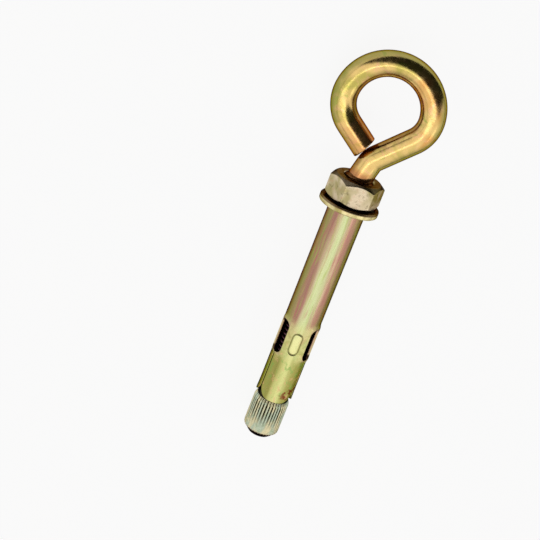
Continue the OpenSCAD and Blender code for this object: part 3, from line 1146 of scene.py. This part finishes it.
def sleeve_bands(tree, where, across):
    """Lengthwise bands: pale green over each leaf, rose beside it, olive between."""
    colour = bands(
        tree, across, [(0.0, (214, 222, 168)), (0.5, (178, 130, 116)), (1.0, (156, 146, 92))]
    )
    fibre = cloud(tree, stretched(tree, where, 1, 1, 0.06), 2.2, 4.0, 0.6)
    green = step_up(tree, fibre, 0.5, 0.66, (0, 0.45))
    colour = blend(tree, green, colour, (176, 196, 96))
    streak = cloud(tree, stretched(tree, where, 1, 1, 0.1), 1.1, 3.0)
    rose = step_up(tree, streak, 0.55, 0.72, (0, 0.5))
    return blend(tree, rose, colour, (186, 112, 104)), fibre


def sleeve_paint():
    """Yellow-green plating with bands of rose; olive leaves, with rust at the tips on one half.
    Each oval mark has a painted shade line along its groove and a painted highlight inside, and
    the bore is darkened with painted shade.
    """
    material, tree, shader, where = finish("sleeve_plating", edge=(64, 54, 36))
    parts = apart(tree, where)
    turned_by = turn_about(tree, parts)
    long_way = stretched(tree, where, 0.55, 0.55, 0.05)
    sway = maths(tree, "MULTIPLY_ADD", cloud(tree, long_way, 1.0, 2.0), 0.09, -0.045)
    off_middle = maths(tree, "SUBTRACT", maths(tree, "ADD", turned_by, sway), LEAF_MIDDLE)
    off_middle = maths(tree, "PINGPONG", off_middle, 0.5 / LEAVES)
    across = maths(tree, "MULTIPLY", off_middle, 2.0 * LEAVES)
    colour, fibre = sleeve_bands(tree, where, across)
    leaf = step_up(tree, parts[2], WINDOW_Z + 9, WINDOW_Z - 3, (0.0, 0.92))
    colour = blend(tree, leaf, colour, leaf_colours(tree, where, across))
    from_windows = maths(tree, "ABSOLUTE", maths(tree, "SUBTRACT", parts[2], WINDOW_Z))
    belt = step_up(tree, from_windows, 7.0, 4.0, (0.0, 0.55))
    uneven = step_up(tree, cloud(tree, where, 0.7, 3.0, 0.5, 0.4), 0.35, 0.6, (0.45, 1.0))
    colour = blend(tree, maths(tree, "MULTIPLY", belt, uneven), colour, (224, 222, 156))
    tip = step_up(tree, parts[2], TIPS_Z + 6.5, TIPS_Z + 4.0)
    tip = maths(tree, "MULTIPLY", tip, step_up(tree, parts[2], TIPS_Z + 0.2, TIPS_Z + 1.4))
    rust = step_up(tree, cloud(tree, where, 0.8, 2.0), 0.48, 0.62)
    rust = maths(tree, "MULTIPLY", rust, step_up(tree, turned_by, 0.52, 0.6))
    colour = blend(tree, maths(tree, "MULTIPLY", tip, rust), colour, (128, 70, 46))
    from_groove = noted(tree, "mark")
    # painted shade: a dark line along the groove of each oval mark
    mark_groove_shade = step_up(
        tree, maths(tree, "ABSOLUTE", from_groove), MARK_SPREAD * 0.9, 0.04, (0.0, 0.75)
    )
    colour = blend(tree, mark_groove_shade, colour, (96, 90, 34))
    # painted highlight: pale inside each oval mark
    mark_highlight = step_up(tree, from_groove, -0.3, -0.6, (0.0, 0.5))
    colour = blend(tree, mark_highlight, colour, (250, 246, 180))
    pit = step_up(tree, cloud(tree, where, 4.2, 2.0), 0.68, 0.74, (0, 0.5))
    colour = blend(tree, pit, colour, (104, 88, 44))
    out = from_axis(tree, parts)
    cut = step_up(tree, out, SLEEVE_R - 0.1, SLEEVE_R - 0.32)
    colour = blend(tree, cut, colour, CUT_EDGE)
    bent = step_up(tree, noted(tree, "lip"), 0.6, 0.95, (0.0, 0.45))
    colour = blend(tree, bent, colour, CUT_EDGE)
    # painted shade: darker inside the bore
    bore_shade = step_up(tree, out, SLEEVE_R - SLEEVE_T + 0.12, SLEEVE_R - SLEEVE_T + 0.02)
    colour = blend(tree, bore_shade, colour, (96, 72, 52))
    tree.links.new(colour, shader.inputs["Base Color"])
    gloss = step_up(tree, fibre, 0.3, 0.7, (0.2, 0.34))
    tree.links.new(gloss, shader.inputs["Roughness"])
    drawn = cloud(tree, stretched(tree, where, 1, 1, 0.05), 6.0, 3.0, 0.6)
    relief(tree, shader, drawn, 0.012)
    return material


def cone_paint():
    """Silvery crests with a green tint. The dark grooves, the nearly black cone under the leaf
    tips and the dark foot are painted shade, and the pale line round the foot's chamfer is a
    painted highlight.
    """
    material, tree, shader, where = finish("cone_plating", edge=(52, 50, 40))
    parts = apart(tree, where)
    mottle = cloud(tree, stretched(tree, where, 1, 1, 0.4), 0.5, 3.0, 0.5, 0.4)
    crest = bands(tree, mottle, [(0.4, (190, 202, 178)), (0.6, (226, 216, 176))])
    tint = step_up(tree, cloud(tree, where, 0.9, 2.0), 0.55, 0.7, (0, 0.5))
    crest = blend(tree, tint, crest, (150, 172, 128))
    above = maths(tree, "MAXIMUM", maths(tree, "SUBTRACT", parts[2], SHOULDER_Z), 0.0)
    full = maths(tree, "MULTIPLY_ADD", above, CONE_RUN, from_axis(tree, parts))
    # painted shade: the grooves between the teeth are dark
    height = step_up(tree, full, KNURL_R - 0.2, KNURL_R - 0.07)
    colour = blend(tree, height, (52, 48, 30), crest)
    # painted shade: the cone under the leaf tips is nearly black
    cone = step_up(tree, parts[2], TIPS_Z - 0.95, TIPS_Z - 0.75, (0.0, 0.95))
    colour = blend(tree, cone, colour, (30, 24, 18))
    # painted highlight: a pale line round the foot's chamfer
    foot_edge_highlight = step_up(tree, parts[2], FOOT_Z + 0.75, FOOT_Z + 0.5, (0.0, 0.6))
    colour = blend(tree, foot_edge_highlight, colour, (220, 200, 170))
    # painted shade: the end face at the foot is dark
    foot = step_up(tree, parts[2], FOOT_Z + 0.3, FOOT_Z + 0.1, (0.0, 0.9))
    colour = blend(tree, foot, colour, (70, 62, 46))
    tree.links.new(colour, shader.inputs["Base Color"])
    gloss = step_up(tree, cloud(tree, where, 1.6, 4.0), 0.3, 0.7, (0.32, 0.5))
    tree.links.new(gloss, shader.inputs["Roughness"])
    relief(tree, shader, cloud(tree, where, 3.0, 4.0, 0.6), 0.02)
    return material


bar_finish = bar_paint()
thread_finish = thread_paint()
nut_finish = nut_paint()
washer_finish = washer_paint()
sleeve_finish = sleeve_paint()
cone_finish = cone_paint()

seat(make_bar(bar_finish), "bolt", bar_finish, "eye_bolt")
seat(make_thread(thread_finish), "bolt", thread_finish, sharp=50)
seat(make_nut(), "nut", nut_finish, "hex_nut")
seat(make_washer(), "washer", washer_finish, "washer")
seat(make_sleeve(), "sleeve", sleeve_finish, "sleeve", sharp=60)
seat(make_cone_nut(cone_finish), "cone", cone_finish, "cone_nut")


# camera, floor, lights
CAMERA_TILT = 18.1
CAMERA_ROLL = 21.675
CAMERA_DISTANCE = 330.0
FOCAL_PX = 1277.1
FRAME_PX = 540
WASHER_AT = (347.99, 206.7)
SENSOR_W = 36.0
FLOOR_HALF = 4.0
FLOOR_GREY = 0.88
FLOOR_GLOW = 0.9
SKY_LEVEL = 1.06
SKY_DIM = 0.5
SKY_DARK = 0.03
HORIZON_LEVEL = 0.9
LAMP_DISTANCE = 420


def add_camera():
    """Looks at the eye's flat side, tilted towards its top, with the washer in its place."""
    tilt, roll = math.radians(CAMERA_TILT), math.radians(CAMERA_ROLL)
    back = Vector((0, -math.cos(tilt), math.sin(tilt)))
    right = (-back).cross(Vector((0, 0, 1))).normalized()
    up = right.cross(-back)
    right, up = (
        right * math.cos(roll) + up * math.sin(roll),
        up * math.cos(roll) - right * math.sin(roll),
    )
    across = (WASHER_AT[0] - FRAME_PX / 2) / FOCAL_PX
    above = (FRAME_PX / 2 - WASHER_AT[1]) / FOCAL_PX
    axes = Matrix((right, up, back)).transposed()
    aim = Vector((0, 0, -1)).rotation_difference(Vector((across, above, -1)))
    axes = axes @ aim.to_matrix().inverted()
    local = Matrix.Translation(back * CAMERA_DISTANCE) @ axes.to_4x4()
    data = bpy.data.cameras.new("camera")
    data.sensor_width = SENSOR_W
    data.lens = FOCAL_PX * SENSOR_W / FRAME_PX
    data.clip_start, data.clip_end = 0.01, 10
    camera = bpy.data.objects.new("camera", data)
    world = TO_REST @ local
    spot, turn, _ = world.decompose()
    camera.location = spot
    camera.rotation_mode = "QUATERNION"
    camera.rotation_quaternion = turn
    bpy.context.scene.collection.objects.link(camera)
    bpy.context.scene.camera = camera


def add_floor():
    floor = new_object(
        "floor",
        [(x * FLOOR_HALF, y * FLOOR_HALF, 0) for x, y in ((-1, -1), (1, -1), (1, 1), (-1, 1))],
        [(0, 1, 2, 3)],
    )
    material = bpy.data.materials.new("floor_white")
    material.use_nodes = True
    tree = material.node_tree
    tree.nodes.clear()
    out = tree.nodes.new("ShaderNodeOutputMaterial")
    matt = tree.nodes.new("ShaderNodeBsdfDiffuse")
    matt.inputs["Color"].default_value = (FLOOR_GREY,) * 3 + (1,)
    white = tree.nodes.new("ShaderNodeEmission")
    white.inputs["Strength"].default_value = 1.0
    path = tree.nodes.new("ShaderNodeLightPath")
    rays = maths(
        tree, "MAXIMUM", path.outputs["Is Camera Ray"], path.outputs["Is Glossy Ray"]
    )
    rays = maths(tree, "MAXIMUM", rays, path.outputs["Is Transmission Ray"])
    share = maths(tree, "MULTIPLY", rays, FLOOR_GLOW)
    mix = tree.nodes.new("ShaderNodeMixShader")
    tree.links.new(share, mix.inputs[0])
    tree.links.new(matt.outputs[0], mix.inputs[1])
    tree.links.new(white.outputs[0], mix.inputs[2])
    tree.links.new(mix.outputs[0], out.inputs[0])
    floor.data.materials.append(material)


def add_light(name, way, size, power):
    """A soft rectangular lamp that looks at the anchor from a given direction."""
    data = bpy.data.lights.new(name, "AREA")
    data.shape = "RECTANGLE"
    data.size, data.size_y = size[0] * MM, size[1] * MM
    data.energy = power
    lamp = bpy.data.objects.new(name, data)
    way = Vector(way).normalized()
    lamp.location = way * LAMP_DISTANCE * MM
    lamp.rotation_mode = "QUATERNION"
    lamp.rotation_quaternion = way.to_track_quat("Z", "Y")
    bpy.context.scene.collection.objects.link(lamp)


def add_world():
    """A bright studio, dimmer beyond the cone nut and low on one side, dark beyond the eye."""
    world = bpy.data.worlds.new("studio")
    bpy.context.scene.world = world
    world.use_nodes = True
    tree = world.node_tree
    back = tree.nodes["Background"]
    place = tree.nodes.new("ShaderNodeTexCoord")
    way = apart(tree, place.outputs["Generated"])
    bright = step_up(tree, way[0], -0.98, -0.62, (SKY_DIM, SKY_LEVEL))
    dark = step_up(tree, way[0], -0.1, 0.02)
    aside = maths(tree, "ABSOLUTE", way[1])
    aside = maths(tree, "SUBTRACT", aside, maths(tree, "MULTIPLY", way[0], 1.3))
    dark = maths(tree, "MULTIPLY", dark, step_up(tree, aside, 0.55, 0.3))
    light = maths(
        tree,
        "ADD",
        maths(tree, "MULTIPLY", bright, maths(tree, "SUBTRACT", 1.0, dark)),
        maths(tree, "MULTIPLY", dark, SKY_DARK),
    )
    near_side = step_up(tree, way[1], 0.1, -0.3)
    least = maths(tree, "MULTIPLY_ADD", near_side, -0.5, 0.6)
    up = step_up(tree, way[2], 0.12, 0.34)
    low = maths(
        tree, "ADD", maths(tree, "MULTIPLY", up, maths(tree, "SUBTRACT", 1.0, least)), least
    )
    light = maths(tree, "MULTIPLY", light, low)
    horizon = step_up(tree, way[2], 0.16, 0.08)
    light = maths(
        tree, "ADD", maths(tree, "MULTIPLY", light, maths(tree, "SUBTRACT", 1.0, horizon)),
        maths(tree, "MULTIPLY", horizon, HORIZON_LEVEL),
    )
    back.inputs["Color"].default_value = (1, 0.985, 0.96, 1)
    tree.links.new(light, back.inputs["Strength"])


add_camera()
add_floor()
add_world()
add_light("key_softbox", (-0.11, 0.5, 0.86), (50, 420), 0.08)
add_light("nut_softbox", (-0.31, -0.39, 0.87), (110, 110), 0.025)
bpy.context.scene.view_settings.view_transform = "Standard"
